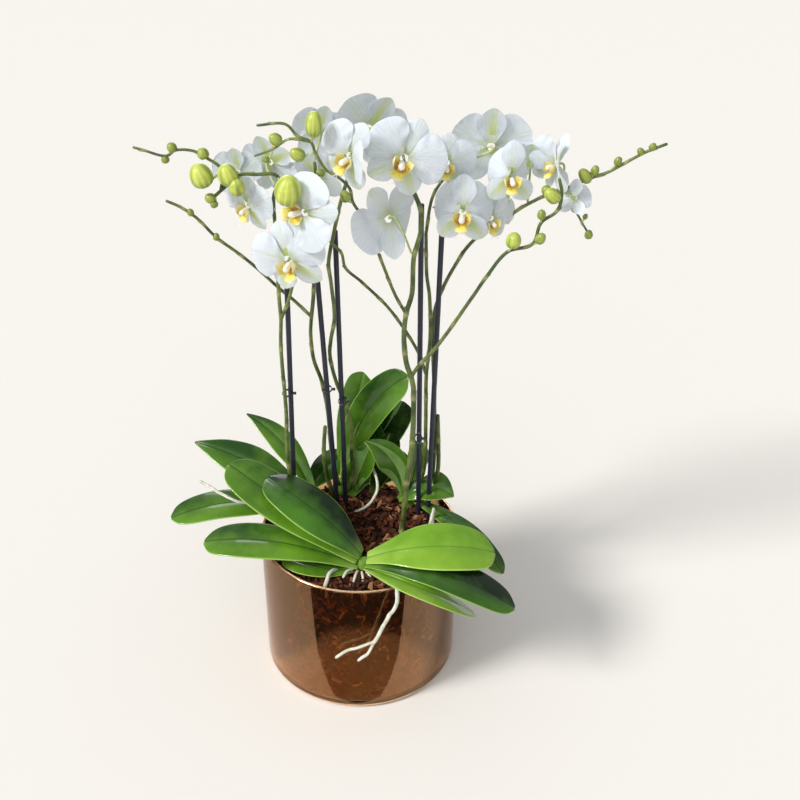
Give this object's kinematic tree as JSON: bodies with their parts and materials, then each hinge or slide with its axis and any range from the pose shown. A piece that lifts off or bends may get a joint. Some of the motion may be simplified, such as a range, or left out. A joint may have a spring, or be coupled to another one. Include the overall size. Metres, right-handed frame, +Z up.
{
  "type": "potted orchid",
  "caption": "White moth orchids with broad glossy leaves and buds, their spikes clipped to dark stakes, in a low copper-brown glass pot filled with bark.",
  "frame": {"origin": "middle of the pot's flat underside", "axes": "+Z up, -Y the front, +X to the right"},
  "size_m": [0.544, 0.2557, 0.6957],
  "materials": {
    "pot_glass": "clear amber-brown glass with a copper lustre",
    "bark": "rough red-brown bark chips",
    "stake_plastic": "satin dark blue-black",
    "clip_plastic": "thin dark clear clips",
    "stems": "satin green stems and yellow-green buds",
    "leaves": "glossy thick leaves",
    "petals": "soft matt white with fine veins and a yellow lip",
    "aerial_roots": "matt silvery white"
  },
  "bodies": {
    "root": {"glass_pot": "pot_glass", "stake_left": "stake_plastic", "stake_back_left": "stake_plastic", "stake_back": "stake_plastic", "stake_right_front": "stake_plastic", "stake_right": "stake_plastic", "front_spike": "stems", "left_spike": "stems", "back_left_spike": "stems", "back_spike": "stems", "right_spike": "stems", "right_long_spike": "stems", "back_cut_spike": "stems", "right_cut_spike": "stems", "front_leaf_right_top": "leaves", "front_leaf_right_middle": "leaves", "front_leaf_right_low": "leaves", "front_leaf_left_top": "leaves", "front_leaf_left_middle": "leaves", "front_leaf_left_low": "leaves", "front_leaf_small": "leaves", "left_leaf_high": "leaves", "left_leaf_back": "leaves", "left_leaf_low": "leaves", "back_leaf_tall": "leaves", "back_leaf_big": "leaves", "back_leaf_dark": "leaves", "back_leaf_small": "leaves", "right_leaf_left": "leaves", "right_leaf_back": "leaves", "right_leaf_folded": "leaves", "right_leaf_low": "leaves", "left_aerial_root": "aerial_roots", "hanging_root": "aerial_roots", "back_aerial_root": "aerial_roots", "front_aerial_root": "aerial_roots", "flower_front_top": "petals", "flower_left_low": "petals", "flower_left_mid": "petals", "flower_left_outer": "petals", "flower_left_back": "petals", "flower_left_rear": "petals", "flower_centre": "petals", "flower_top_back": "petals", "flower_top_left": "petals", "flower_behind": "petals", "flower_hanging": "petals", "flower_middle": "petals", "flower_right_front": "petals", "flower_right_back": "petals", "flower_right_narrow": "petals", "flower_right_lower": "petals", "flower_right_rear": "petals", "flower_right_top": "petals", "flower_right_hanging": "petals", "clip_left": "clip_plastic", "clip_back_left": "clip_plastic", "clip_back": "clip_plastic", "clip_right_front": "clip_plastic", "potting_bark": "bark"}
  },
  "joints": []
}
